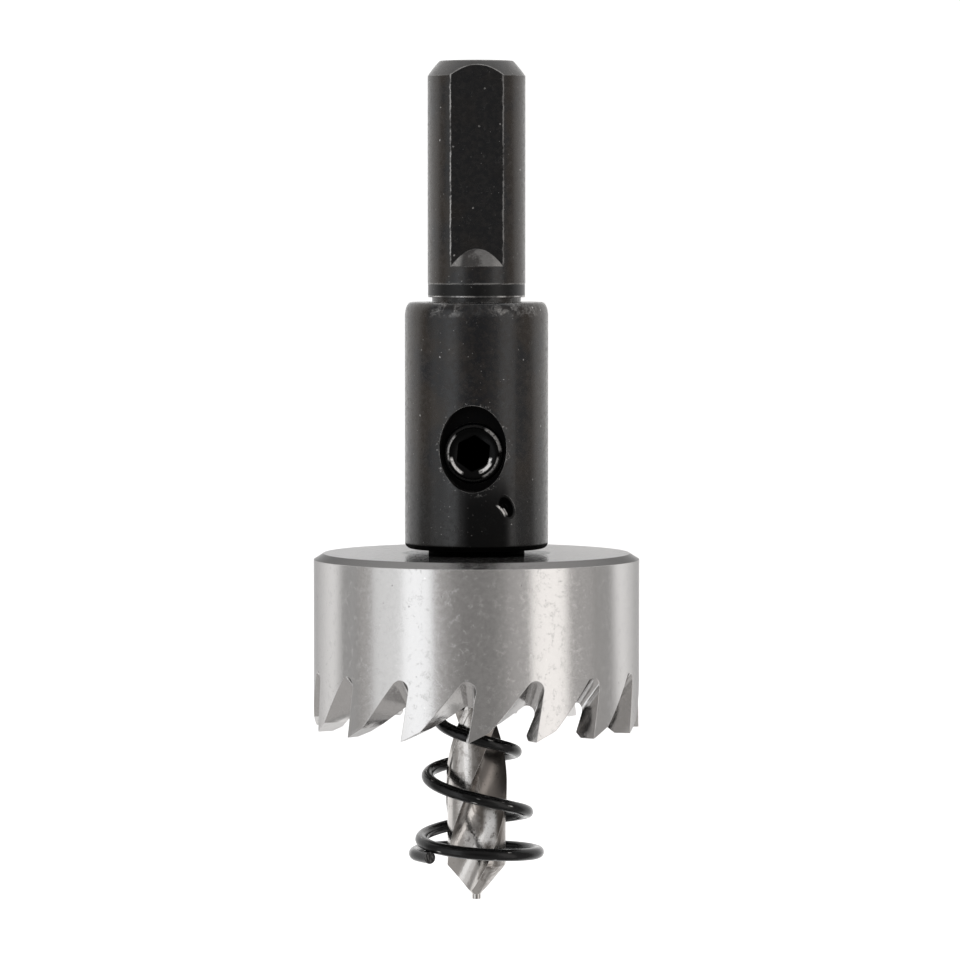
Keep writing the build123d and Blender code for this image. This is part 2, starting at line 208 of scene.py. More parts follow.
class Finish(Recipe):
    """One metal finish: a Principled shader whose patterns follow the tool's own space."""

    def __init__(self, name, slot):
        self.material = bpy.data.materials.new(name)
        self.material.use_nodes = True
        super().__init__(self.material.node_tree)
        self.slot = slot
        self.shader = self.add("ShaderNodeBsdfPrincipled")
        output = self.add("ShaderNodeOutputMaterial")
        self.tree.links.new(self.shader.outputs[0], output.inputs["Surface"])
        place = self.add("ShaderNodeMapping", vector_type="TEXTURE")
        place.inputs["Location"].default_value = tip_place() * MM
        place.inputs["Rotation"].default_value = (LYING_TURN, 0.0, 0.0)
        place.inputs["Scale"].default_value = (MM, MM, MM)
        self.feed(place.inputs["Vector"], self.add("ShaderNodeTexCoord").outputs["Object"])
        self.point = place.outputs[0]
        self.x, self.y, self.z = self.split(self.point)
        self.radius = self.distance(self.x, self.y)
        bearing = self.math("ARCTAN2", self.x, self.math("MULTIPLY", self.y, -1.0))
        self.azimuth = self.math("MULTIPLY", bearing, 180 / pi)

    def stretched(self, x, y, z):
        return self.vector("MULTIPLY", self.point, (x, y, z)).outputs[0]

    def noise(self, scale, detail=2.0, roughness=0.5, distortion=0.0, vector=None):
        return self.add("ShaderNodeTexNoise", {
            "Vector": self.point if vector is None else vector, "Scale": scale,
            "Detail": detail, "Roughness": roughness, "Distortion": distortion}).outputs["Fac"]

    def cells(self, scale, vector=None, feature="F1"):
        return self.add("ShaderNodeTexVoronoi", {
            "Vector": self.point if vector is None else vector, "Scale": scale}, feature=feature)

    def ramp(self, value, low, high, to_low=0.0, to_high=1.0):
        """A smooth step of value between low and high, to a range of its own."""
        return self.add("ShaderNodeMapRange", {
            "Value": value, "From Min": low, "From Max": high,
            "To Min": to_low, "To Max": to_high}, interpolation_type="SMOOTHSTEP").outputs[0]

    def window(self, value, centre, half, soft):
        """One inside a band of values, falling to zero over a soft edge."""
        offset = self.math("ABSOLUTE", self.math("SUBTRACT", value, centre))
        return self.ramp(offset, half + soft, half)

    def times(self, *values):
        product = values[0]
        for value in values[1:]:
            product = self.math("MULTIPLY", product, value)
        return product

    def most(self, *values):
        largest = values[0]
        for value in values[1:]:
            largest = self.math("MAXIMUM", largest, value)
        return largest

    def mix(self, factor, first, second):
        node = self.add("ShaderNodeMix", data_type="RGBA")
        for index, value in ((0, factor), (6, first), (7, second)):
            self.feed(node.inputs[index], value)
        return node.outputs[2]

    def specks(self, scale, size, share, seed=0.0):
        """Scattered irregular dots: a share of the cells holds one each."""
        wander = self.add("ShaderNodeTexNoise", {
            "Vector": self.point, "Scale": 6.0}).outputs["Color"]
        moved = self.vector("MULTIPLY_ADD", wander, (0.22, 0.22, 0.22), self.point).outputs[0]
        shifted = self.vector("ADD", moved, (seed, seed, seed)).outputs[0]
        cells = self.cells(scale, shifted)
        red, green, _ = self.split(cells.outputs["Color"])
        reach = self.math("MULTIPLY", green, size * scale)
        dot = self.ramp(self.math("SUBTRACT", cells.outputs["Distance"], reach), 0.04, -0.04)
        return self.times(dot, self.ramp(red, 1 - share, 1 - share + 0.02))

    def rounded(self, size):
        """The normal with the edges rounded by a radius, and how near an edge a point is."""
        rounding = self.add("ShaderNodeBevel", {"Radius": size * MM}, samples=6).outputs[0]
        flat = self.add("ShaderNodeNewGeometry").outputs["True Normal"]
        along = self.vector("DOT_PRODUCT", rounding, flat).outputs["Value"]
        return rounding, self.ramp(along, EDGE_START, EDGE_FULL)

    def facing_end(self):
        """How far the surface faces the shank's end: 0 on flats and rounds, 1 on end faces."""
        normal = self.add("ShaderNodeNewGeometry").outputs["True Normal"]
        axis = (0.0, cos(LEAN), -sin(LEAN))
        return self.vector("DOT_PRODUCT", normal, axis).outputs["Value"]

    def about_screw(self):
        """Place across, up and out along the set screw's axis."""
        side = radians(SCREW_AZIMUTH)
        across = self.math("ADD", self.times(self.x, cos(side)), self.times(self.y, sin(side)))
        out = self.math("SUBTRACT", self.times(self.x, sin(side)), self.times(self.y, cos(side)))
        return across, self.math("SUBTRACT", self.z, SCREW_Z), out

    def distance(self, first, second):
        """How far a place given by two coordinates lies from their origin."""
        return self.math("SQRT", self.math(
            "ADD", self.times(first, first), self.times(second, second)))

    def bump(self, height, depth, normal=None):
        """Relief of a depth in millimetres."""
        inputs = {"Height": height, "Distance": depth * MM, "Strength": 1.0}
        if normal is not None:
            inputs["Normal"] = normal
        return self.add("ShaderNodeBump", inputs).outputs[0]

    def set(self, **sockets):
        for name, value in sockets.items():
            self.feed(self.shader.inputs[name.replace("_", " ")], value)


def rgb(colour, factor=1.0):
    return (colour[0] * factor, colour[1] * factor, colour[2] * factor, 1.0)


def dress(node_name, finish):
    """Gives a solid its finish in every slot."""
    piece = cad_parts[node_name]
    for place in piece.material_slots:
        place.material = finish.material


# ------------------------------------------------------------------ finishes

def black_oxide(look):
    """Blackened turned steel: satin, specked, rubbed bright at its edges, with painted shade in its
    recesses and low on the collar, and painted highlights in the pit and along two edges.
    """
    make = Finish("Black oxide steel", "black_steel")
    normal, edge = make.rounded(look.edge_rounding)
    # Random brown tone, and a browner tint towards the sides by azimuth, painted for how the light
    # falls on them.
    brown_tone_and_side_tint = make.math("ADD", make.noise(0.35, 3.0), make.ramp(
        make.math("ABSOLUTE", make.azimuth), 24.0, 50.0, -0.16, 0.1))
    tint = make.mix(make.ramp(brown_tone_and_side_tint, 0.35, 0.65), rgb(look.oxide_colour), rgb(look.oxide_brown))
    grime = make.ramp(make.noise(2.4, 4.0, 0.65), 0.35, 0.75)
    tint = make.mix(make.times(grime, 0.6), tint, rgb(look.oxide_brown))
    # Painted shade: the collar darkens towards the cup; low_middle marks a band down its lower front
    # that is painted black further on, as a dark reflection.
    low_collar = make.times(make.ramp(make.z, 36.0, 31.5), make.ramp(make.z, 27.0, 28.0))
    low_middle = make.times(low_collar, make.window(make.azimuth, 8.0, 13.0, 13.0))
    tint = make.mix(make.times(low_collar, 0.8), tint, rgb(look.oxide_colour, 0.15))

    facing_end = make.facing_end()
    on_shank = make.ramp(make.z, COLLAR_TOP_Z + 0.5, COLLAR_TOP_Z + 0.6)
    cut = make.times(on_shank, make.ramp(make.radius, SHANK_RADIUS - 0.01, SHANK_RADIUS - 0.02))
    on_flat = make.times(cut, make.ramp(make.math("ABSOLUTE", facing_end), 0.1, 0.05))
    runout = make.times(cut, make.window(facing_end, 0.39, 0.15, 0.05),
                        make.ramp(make.z, FLATS_END_Z + 0.2, FLATS_END_Z + 0.1))
    end_cone = make.times(make.window(facing_end, 0.62, 0.12, 0.05),
                          make.ramp(make.z, SHANK_END_Z - 1.5, SHANK_END_Z - 1.4))
    root = make.times(on_shank, make.ramp(make.z, SHANK_ROOT_TOP_Z, SHANK_ROOT_TOP_Z - 0.1))
    tint = make.mix(make.times(on_flat, 0.6), tint, rgb(look.oxide_colour, 0.4))
    # Painted shade: the shank's root above the collar is darkened, where the groove lies in shade.
    tint = make.mix(make.times(root, 0.85), tint, rgb(look.oxide_colour, 0.1))
    scrape = make.math("ADD", make.noise(1.4, 5.0, 0.65), make.ramp(make.x, -1.8, 2.2, -0.18, 0.25))
    tint = make.mix(make.times(runout, make.ramp(scrape, 0.4, 0.66, 0.2, 1.0)),
                    tint, rgb(look.bare_and_glint_colour, 0.3))
    from_flat = make.math("ABSOLUTE", make.math("WRAP", make.math(
        "SUBTRACT", make.azimuth, FLAT_AZIMUTH), 60.0, -60.0))
    corner = make.times(runout, make.ramp(from_flat, 16.0, 26.0),
                        make.ramp(make.noise(2.2, 4.0, 0.7), 0.36, 0.6, 0.35, 1.0))
    over_flat = make.math("SUBTRACT", make.times(make.radius, make.math(
        "COSINE", make.times(from_flat, pi / 180))), FLAT_DISTANCE)
    end_line = make.times(
        end_cone, make.ramp(make.noise(1.3, 4.0, 0.7), 0.35, 0.6, 0.3, 1.0),
        make.most(make.window(over_flat, 0.05, 0.06, 0.06),
                  make.times(make.window(make.z, SHANK_END_Z, 0.05, 0.08), 0.3)))
    tint = make.mix(make.times(end_cone, 0.6), tint, rgb(look.bare_and_glint_colour, 0.12))

    dust = make.specks(1.25, 0.075, 0.6)
    fine_dust = make.specks(2.8, 0.042, 0.42, 7.3)
    shoulder = make.window(make.z, COLLAR_TOP_Z - 0.4, 0.4, 0.45)
    rubbed_places = make.most(*(
        make.window(make.azimuth, centre, half, 12.0) for centre, half in SHOULDER_WEAR))
    blotch = make.ramp(make.noise(1.5, 5.0, 0.7, 0.6), 0.44, 0.66)
    sparkle = make.ramp(make.noise(4.5, 4.0, 0.7), 0.5, 0.66, 0.35, 1.0)
    shoulder_rub = make.times(shoulder, blotch, sparkle,
                              make.ramp(rubbed_places, 0.0, 1.0, 0.12, 0.95))
    # Painted highlights: thin bright lines along the top of the shank's root and of the undercut.
    edge_highlight_lines = make.times(make.ramp(make.noise(1.2), 0.35, 0.6, 0.2, 1.0), make.most(
        make.times(make.window(make.z, SHANK_ROOT_TOP_Z + 0.02, 0.03, 0.05), 0.4),
        make.times(make.window(make.z, UNDERCUT_TOP_Z + 0.06, 0.04, 0.06),
                   make.ramp(make.radius, SHANK_RADIUS - 0.1, SHANK_RADIUS - 0.06))))
    scuffed = make.times(edge, make.ramp(make.noise(1.1, 3.0, 0.6), 0.36, 0.62), look.wear)
    ragged = make.math("ADD", make.azimuth, make.times(make.math(
        "SUBTRACT", make.noise(1.3, 5.0, 0.75), 0.5), 4.0))
    arrises = make.times(
        on_shank, make.ramp(make.z, FLATS_END_Z - 1.4, FLATS_END_Z - 1.1),
        make.ramp(make.z, SHANK_END_Z - 1.0, SHANK_END_Z - 1.2),
        make.ramp(make.noise(1.7, 4.0, 0.7), 0.33, 0.58),
        make.most(*(make.times(make.window(ragged, azimuth, 0.4, 0.7), strength)
                    for azimuth, strength in ARRIS_WEAR)))
    hairline = make.ramp(make.math("ABSOLUTE", make.math(
        "SUBTRACT", make.noise(0.9, 3.0, 0.55, 2.0), 0.5)), 0.006, 0.0)
    hairline = make.times(hairline, make.ramp(make.noise(1.3, 2.0), 0.5, 0.62))

    nick_x = make.math("SUBTRACT", make.x, NICK_GLINT_X)
    nick_z = make.math("SUBTRACT", make.z, NICK_GLINT_Z)
    aside, upright = NICK_SLANT
    nick_across = make.math("ADD", make.times(nick_x, aside), make.times(nick_z, upright))
    nick_along = make.math("SUBTRACT", make.times(nick_x, upright), make.times(nick_z, aside))
    at_front = make.ramp(make.y, 0.0, -1.0)
    curved = make.math("ADD", nick_across, make.times(nick_along, nick_along, 0.28))
    # Painted highlight on the pit's flank, in a white lighter than bare steel.
    painted_nick_glint = make.times(at_front, make.ramp(make.noise(3.0, 3.0), 0.25, 0.45), make.most(
        make.times(make.window(curved, 0.15, 0.045, 0.07), make.window(nick_along, -0.25, 0.25, 0.4)),
        make.times(make.window(curved, 0.31, 0.02, 0.07), make.window(nick_along, 0.0, 0.2, 0.2),
                   0.7)))
    below_skin = make.times(
        make.ramp(make.radius, COLLAR_RADIUS - 0.03, COLLAR_RADIUS - 0.15), at_front)
    across, up, _ = make.about_screw()
    from_slot = make.distance(make.times(across, 2 / SLOT_WIDTH), make.times(
        make.math("SUBTRACT", up, SLOT_RAISE), 2 / SLOT_HEIGHT))
    in_slot = make.times(below_skin, make.ramp(from_slot, 1.25, 1.2))
    slot_rim = make.times(make.window(from_slot, 1.05, 0.03, 0.07), at_front, make.most(
        make.ramp(make.noise(3.4, 4.0, 0.7), 0.56, 0.66), make.specks(3.2, 0.05, 0.5, 2.2)))
    in_nick = make.times(below_skin, make.window(make.z, NICK_Z, 1.3, 0.1),
                         make.ramp(make.x, 0.9, 1.0))
    under_collar = make.ramp(make.z, COLLAR_BASE_Z + 0.5, COLLAR_BASE_Z + 0.38)
    # Painted shade: black in the slot, the pit, under the collar and at the shank's root, and a
    # painted dark reflection in a band down the collar's lower front.
    painted_shade = make.most(make.times(in_slot, 0.85), in_nick, under_collar, make.times(low_middle, 0.75),
                     make.times(root, 0.4))
    painted_shade = make.math("SUBTRACT", make.times(painted_shade, 0.9), painted_nick_glint, clamp=True)

    # Bright marks: dust and wear, with the painted highlights of the pit and of the edge lines.
    bright = make.most(dust, make.times(fine_dust, 0.7), shoulder_rub, painted_nick_glint, arrises,
                       make.times(slot_rim, 0.6), make.times(scuffed, 0.8), edge_highlight_lines,
                       end_line, corner, make.times(hairline, 0.16))
    colour = make.mix(bright, tint, rgb(look.bare_and_glint_colour, 0.7))
    colour = make.mix(painted_nick_glint, colour, rgb(look.bare_and_glint_colour, 1.5))
    colour = make.mix(painted_shade, colour, (0.0, 0.0, 0.0, 1.0))
    turning = make.noise(1.0, 3.0, 0.6, vector=make.stretched(0.35, 0.35, 9.0))
    grain = make.noise(7.0, 4.0, 0.7)
    relief = make.math("ADD", make.times(turning, 0.5), make.math(
        "SUBTRACT", grain, make.times(dust, 2.0)))
    make.set(Base_Color=colour, Metallic=make.most(make.math(
        "SUBTRACT", make.times(bright, 0.7), painted_nick_glint, clamp=True), painted_shade),
             Roughness=make.most(make.math("ADD", make.times(grime, 0.2), look.oxide_roughness),
                                 painted_shade),
             Normal=make.bump(relief, 0.0035, normal))
    return make


def ground_steel(look):
    """Bare ground steel of the cup: fine grain, pits and fine worm marks, burrs at its edges."""
    make = Finish("Ground steel", "ground_steel")
    normal, edge = make.rounded(look.edge_rounding * 0.7)
    mottle = make.noise(3.2, 5.0, 0.7, 0.5)
    grain = make.noise(5.5, 4.0, 0.7, 0.8)
    scratch = make.noise(1.0, 4.0, 0.7, vector=make.stretched(1.6, 1.6, 9.0))
    worm = make.ramp(make.math("ABSOLUTE", make.math(
        "SUBTRACT", make.noise(2.6, 3.0, 0.6, 1.5), 0.5)), 0.025, 0.0)
    worm = make.times(worm, make.ramp(make.noise(1.7, 2.0), 0.52, 0.62))
    pits = make.specks(1.5, 0.08, 0.3, 3.1)
    fleck = make.specks(2.3, 0.055, 0.3, 11.7)
    colour = make.mix(make.ramp(mottle, 0.3, 0.7), rgb(look.steel_colour, 0.97),
                      rgb(look.steel_colour, 1.03))
    colour = make.mix(make.times(pits, 0.5), colour, rgb(look.steel_colour, 0.35))
    colour = make.mix(make.times(fleck, 0.5), colour, rgb(look.steel_colour, 1.45))
    colour = make.mix(make.times(worm, 0.18), colour, rgb(look.steel_colour, 0.55))
    closed_end = make.ramp(make.z, CUP_TOP_Z - CUP_EDGE_HEIGHT - 0.03,
                           CUP_TOP_Z - CUP_EDGE_HEIGHT + 0.03)
    colour = make.mix(make.times(closed_end, 0.07), colour, rgb(look.steel_colour, 0.35))
    chamfer = make.times(closed_end, make.window(make.facing_end(), 0.85, 0.1, 0.03))
    colour = make.mix(make.times(chamfer, 0.88), colour, rgb(look.steel_colour, 0.22))
    # Painted shadow: the cup's end is black round the collar, where the collar shades it.
    collar_shadow = make.times(closed_end, make.ramp(make.radius, 6.1, 5.6))
    colour = make.mix(make.times(collar_shadow, 0.9), colour, (0.0, 0.0, 0.0, 1.0))
    burr = make.times(edge, make.ramp(make.noise(2.2, 3.0), 0.45, 0.65), look.wear)
    colour = make.mix(make.times(burr, 0.6), colour, rgb(look.steel_colour, 1.4))
    relief = make.math("ADD", make.times(grain, 0.9), make.math(
        "SUBTRACT", make.times(scratch, 0.7),
        make.most(make.times(pits, 6.0), make.times(worm, 1.6))))
    make.set(Base_Color=colour, Roughness=make.ramp(mottle, 0.3, 0.7, look.steel_roughness - 0.03,
                                                    look.steel_roughness + 0.05),
             Normal=make.bump(relief, 0.0014, normal))
    make.shader.inputs["Metallic"].default_value = 1.0
    make.shader.inputs["Specular Tint"].default_value = (0.45, 0.45, 0.45, 1.0)
    return make


def polished_drill_steel(look):
    """Bright fluted steel with a brown film and smut, both thinner towards -X as a painted lighter
    side, streaks along it and painted highlights on its front.
    """
    make = Finish("Drill steel", "drill_steel")
    normal, edge = make.rounded(look.edge_rounding * 0.5)
    height = make.ramp(make.z, 4.0, 8.0, -0.12, 0.2)
    # The film and the smut are real; their fuller share towards +X and thinner share towards -X are
    # painted shade and light on those sides.
    side = make.ramp(make.x, -0.8, 1.2, -0.32, 0.2)
    film = make.ramp(make.math("ADD", make.noise(0.9, 5.0, 0.65, 0.8), make.math(
        "ADD", height, side)), 0.36, 0.66)
    smut = make.times(make.ramp(make.noise(2.6, 5.0, 0.7, 1.2), 0.6, 0.72),
                      make.ramp(make.x, -1.0, 0.2, 0.3, 1.0))
    streak = make.noise(1.0, 3.0, 0.6, vector=make.stretched(7.0, 7.0, 1.4))
    colour = make.mix(make.times(film, 0.85), rgb(look.drill_colour), rgb(look.drill_film))
    colour = make.mix(make.times(smut, 0.8), colour, rgb(look.drill_film, 0.35))
    colour = make.mix(make.times(edge, 0.6), colour, rgb(look.steel_colour, 1.3))
    # Painted highlights at the listed places, on the front only.
    glints = make.most(*(
        make.times(make.window(make.x, x, wide, soft), make.window(make.z, z, tall, 0.7), strength)
        for x, z, wide, soft, tall, strength in DRILL_GLINTS))
    glints = make.times(glints, make.ramp(make.y, 0.0, -0.5),
                        make.ramp(make.noise(2.2, 4.0, 0.7, 0.8), 0.3, 0.52))
    colour = make.mix(glints, colour, rgb(look.bare_and_glint_colour, 1.5))
    make.set(Base_Color=colour, Metallic=make.math("SUBTRACT", 1.0, make.times(glints, 0.85)),
             Roughness=make.ramp(film, 0.0, 1.0, look.drill_roughness, look.drill_roughness + 0.12),
             Normal=make.bump(make.math("ADD", streak, make.noise(6.0, 3.0)), 0.006, normal))
    return make


def screw_black(look):
    """Blackened set screw whose rim a key and handling have rubbed in places."""
    make = Finish("Blackened screw steel", "screw_steel")
    normal, _ = make.rounded(look.edge_rounding)
    across, up, out = make.about_screw()
    reach = make.distance(across, up)
    angle = make.times(make.math("ARCTAN2", up, across), 180 / pi)

    def arc(radius, half_width, middle, half_angle):
        turned = make.math("WRAP", make.math("SUBTRACT", angle, middle), 180.0, -180.0)
        return make.times(make.window(reach, radius, half_width, 0.09),
                          make.window(turned, 0.0, half_angle, 9.0))

    rub = make.most(*(make.times(arc(*place), strength) for *place, strength in SCREW_WEAR))
    rub = make.times(rub, make.ramp(make.noise(4.0, 4.0, 0.7), 0.25, 0.55))
    rim = make.ramp(reach, 2.0, 2.1)
    face = DRILL_FLAT_DISTANCE + SCREW_LENGTH
    # Painted shade: the socket's inside is black, as a deep recess lies in shade.
    in_socket = make.times(make.ramp(out, face - 0.15, face - 0.45), make.ramp(reach, 1.6, 1.5))
    dim_ring = make.window(reach, 2.16, 0.05, 0.08)
    grain = make.noise(8.0, 3.0)
    colour = make.mix(make.times(dim_ring, 0.6), rgb(look.oxide_colour, 0.3),
                      rgb(look.bare_and_glint_colour, 0.07))
    black = make.math("SUBTRACT", make.most(in_socket, make.math("SUBTRACT", 0.8, rim)), rub,
                      clamp=True)
    colour = make.mix(black, colour, (0.0, 0.0, 0.0, 1.0))
    colour = make.mix(rub, colour, rgb(look.bare_and_glint_colour, 1.5))
    make.set(Base_Color=colour, Metallic=make.most(make.times(rub, 0.2), black),
             Roughness=make.most(make.ramp(grain, 0.3, 0.7, 0.2, 0.34), in_socket),
             Normal=make.bump(grain, 0.004, normal))
    return make


def black_wire(look):
    """Oiled black spring wire with faint draw marks, small bare spots and short painted highlights
    along it.
    """
    make = Finish("Black spring wire", "spring_steel")
    path = make.add("ShaderNodeAttribute", attribute_name="wire_path").outputs["Vector"]
    drawn = make.vector("MULTIPLY", path, (40.0, 0.7, 1.0)).outputs[0]
    draw = make.noise(1.0, 3.0, 0.6, vector=drawn)
    bare = make.specks(1.5, 0.08, 0.2, 5.0)
    # Painted highlights: short bright marks along the wire.
    glint_dashes = make.cells(1.0, make.vector("MULTIPLY", path, (14.0, 0.9, 1.0)).outputs[0])
    which, _, _ = make.split(glint_dashes.outputs["Color"])
    glint_dashes = make.times(make.ramp(glint_dashes.outputs["Distance"], 0.3, 0.12), make.ramp(which, 0.8, 0.82),
                        make.ramp(make.noise(3.5, 3.0, 0.6), 0.38, 0.55))
    grain = make.noise(5.0, 4.0, 0.6)
    make.set(Base_Color=make.mix(make.most(make.times(bare, 0.5), glint_dashes), rgb(look.wire_colour),
                                 rgb(look.bare_and_glint_colour)),
             Roughness=make.ramp(draw, 0.3, 0.7, look.wire_roughness - 0.06,
                                 look.wire_roughness + 0.14),
             Normal=make.bump(make.math("ADD", make.times(draw, 0.6), grain), 0.012))
    make.shader.inputs["Specular IOR Level"].default_value = 0.3
    return make


def cut_wire(look):
    """The sheared face at the spring's free end."""
    make = Finish("Cut wire end", "spring_steel")
    tear = make.noise(3.0, 4.0, 0.7, vector=make.stretched(3.0, 3.0, 1.0))
    make.set(Base_Color=make.mix(make.ramp(tear, 0.45, 0.7), rgb(look.wire_colour, 2.0),
                                 rgb(look.bare_and_glint_colour, 0.3)),
             Roughness=make.ramp(tear, 0.3, 0.7, 0.35, 0.55), Normal=make.bump(tear, 0.03))
    make.shader.inputs["Metallic"].default_value = 0.3
    return make


# ------------------------------------------------------------------ remade pieces

def new_tree(name, sockets):
    """A geometry node tree with its named inputs, and the identifiers of those inputs."""
    tree = bpy.data.node_groups.new(name, "GeometryNodeTree")
    tree.interface.new_socket(name="Geometry", in_out="OUTPUT", socket_type="NodeSocketGeometry")
    tree.interface.new_socket(name="Geometry", in_out="INPUT", socket_type="NodeSocketGeometry")
    names = {}
    for label, kind in sockets:
        made = tree.interface.new_socket(name=label, in_out="INPUT", socket_type=kind)
        names[label] = made.identifier
    return tree, names


def solidified(name, mesh, tree, values, place):
    """Runs a tree on a mesh and gives its result as a plain piece, put in its place."""
    carrier = bpy.data.objects.new(name, mesh)
    bpy.context.scene.collection.objects.link(carrier)
    modifier = carrier.modifiers.new("Shape", "NODES")
    modifier.node_group = tree
    for identifier, value in values.items():
        modifier[identifier] = value
    bpy.context.view_layer.update()
    shaped = carrier.evaluated_get(bpy.context.evaluated_depsgraph_get())
    result = bpy.data.meshes.new_from_object(shaped, preserve_all_data_layers=True,
                                             depsgraph=bpy.context.evaluated_depsgraph_get())
    carrier.modifiers.clear()
    carrier.data = result
    result.name = name
    result.transform(place)
    if not result.polygons:
        raise RuntimeError(f"{name} came out empty")
    return carrier


def spring_stations():
    """The flare's turns, heights and radii, then the even coils and the closed coil."""
    turns, height, radius = SPRING_SHAPE[-1]
    top = ARBOR_FOOT_Z - SPRING_WIRE / 2 - SPRING_SEAT
    rise = top - SPRING_WIRE - height
    open_turns = rise / SPRING_PITCH
    return [*SPRING_SHAPE, (turns + open_turns / 2, height + rise / 2, radius),
            (turns + open_turns, top - SPRING_WIRE, radius), (turns + open_turns + 1, top, radius)]


def between(stations, turns, column):
    """Smooth value at a number of turns: cubic pieces with the stations' mean slopes."""
    last = len(stations) - 1
    index = max(i for i in range(last) if stations[i][0] <= turns or i == 0)

    def slope(i):
        before, after = stations[max(i - 1, 0)], stations[min(i + 1, last)]
        return (after[column] - before[column]) / (after[0] - before[0])

    start, end = stations[index], stations[index + 1]
    span = end[0] - start[0]
    part = (turns - start[0]) / span
    return (start[column] * (1 + 2 * part) * (1 - part) ** 2
            + end[column] * part ** 2 * (3 - 2 * part)
            + span * slope(index) * part * (1 - part) ** 2
            - span * slope(index + 1) * part ** 2 * (1 - part))


def spring_path():
    """Points along the middle of the spring's wire."""
    stations = spring_stations()
    total = stations[-1][0]
    steps = round(total * SPRING_STEPS)
    points = []
    for step in range(steps + 1):
        turns = total * step / steps
        bearing = radians(SPRING_END_AZIMUTH - 90 - 360 * turns)
        radius = between(stations, turns, 2)
        points.append((radius * cos(bearing), radius * sin(bearing), between(stations, turns, 1)))
    return points


def wire_tree():
    """Sweeps a round wire along the input's edges and notes the path on its surface."""
    tree, names = new_tree("Wire along a path", (
        ("Wire diameter", "NodeSocketFloat"), ("Sides", "NodeSocketInt"),
        ("Step", "NodeSocketFloat"), ("Finish", "NodeSocketMaterial")))
    make = Recipe(tree)
    given = make.add("NodeGroupInput").outputs
    line = make.add("GeometryNodeMeshToCurve", {"Mesh": given["Geometry"]}).outputs[0]
    line = make.add("GeometryNodeCurveSplineType", {"Curve": line},
                    spline_type="CATMULL_ROM").outputs[0]
    line = make.add("GeometryNodeResampleCurve", {"Curve": line, "Length": given["Step"]},
                    mode="LENGTH").outputs[0]
    along = make.add("GeometryNodeCaptureAttribute", {"Geometry": line}, domain="POINT")
    along.capture_items.new("FLOAT", "Along")
    make.feed(along.inputs["Along"], make.add("GeometryNodeSplineParameter").outputs["Length"])
    radius = make.math("MULTIPLY", given["Wire diameter"], 0.5)
    round_wire = make.add("GeometryNodeCurvePrimitiveCircle",
                          {"Resolution": given["Sides"], "Radius": radius}, mode="RADIUS").outputs[0]
    around = make.add("GeometryNodeCaptureAttribute", {"Geometry": round_wire}, domain="POINT")
    around.capture_items.new("FLOAT", "Around")
    make.feed(around.inputs["Around"], make.add("GeometryNodeSplineParameter").outputs["Factor"])
    wire = make.add("GeometryNodeCurveToMesh", {
        "Curve": along.outputs["Geometry"], "Profile Curve": around.outputs["Geometry"],
        "Fill Caps": True}).outputs[0]
    path = make.add("ShaderNodeCombineXYZ", {
        "X": around.outputs["Around"], "Y": along.outputs["Along"]}).outputs[0]
    wire = make.add("GeometryNodeStoreNamedAttribute", {
        "Geometry": wire, "Name": "wire_path", "Value": path},
        data_type="FLOAT_VECTOR", domain="POINT").outputs[0]
    wire = make.add("GeometryNodeRealizeInstances", {"Geometry": wire}).outputs[0]
    wire = make.add("GeometryNodeSetMaterial", {
        "Geometry": wire, "Material": given["Finish"]}).outputs[0]
    make.feed(make.add("NodeGroupOutput").inputs["Geometry"], wire)
    return tree, names


def thread_tree():
    """Sinks a helical V thread into the barrel of a turned blank that stands on Z."""
    tree, names = new_tree("Thread on a barrel", (
        ("Pitch", "NodeSocketFloat"), ("Depth", "NodeSocketFloat"),
        ("Crest radius", "NodeSocketFloat"), ("Finish", "NodeSocketMaterial")))
    make = Recipe(tree)
    given = make.add("NodeGroupInput").outputs
    position = make.add("GeometryNodeInputPosition").outputs[0]
    x, y, z = make.split(position)
    bearing = make.math("DIVIDE", make.math("ARCTAN2", y, x), 2 * pi)
    phase = make.math("FRACT", make.math(
        "ADD", make.math("SUBTRACT", make.math("DIVIDE", z, given["Pitch"]), bearing), 10.0))
    groove = make.math("ABSOLUTE", make.math("SUBTRACT", make.math("MULTIPLY", phase, 2.0), 1.0))
    groove = make.math("SUBTRACT", make.math("MULTIPLY", groove, THREAD_STEEPNESS), THREAD_CREST,
                       clamp=True)
    radius = make.vector("LENGTH", make.vector("MULTIPLY", position, (1.0, 1.0, 0.0)).outputs[0])
    radius = radius.outputs["Value"]
    wanted = make.math("SUBTRACT", given["Crest radius"],
                       make.math("MULTIPLY", groove, given["Depth"]))
    ratio = make.math("DIVIDE", make.math("MINIMUM", radius, wanted), radius)
    sunk = make.vector("MULTIPLY", position, make.add(
        "ShaderNodeCombineXYZ", {"X": ratio, "Y": ratio, "Z": 1.0}).outputs[0]).outputs[0]
    barrel = make.add("GeometryNodeInputNamedAttribute", {"Name": "barrel"},
                      data_type="BOOLEAN").outputs["Attribute"]
    blank = make.add("GeometryNodeSetPosition", {
        "Geometry": given["Geometry"], "Selection": barrel, "Position": sunk}).outputs[0]
    blank = make.add("GeometryNodeRealizeInstances", {"Geometry": blank}).outputs[0]
    blank = make.add("GeometryNodeSetMaterial", {
        "Geometry": blank, "Material": given["Finish"]}).outputs[0]
    make.feed(make.add("NodeGroupOutput").inputs["Geometry"], blank)
    return tree, names


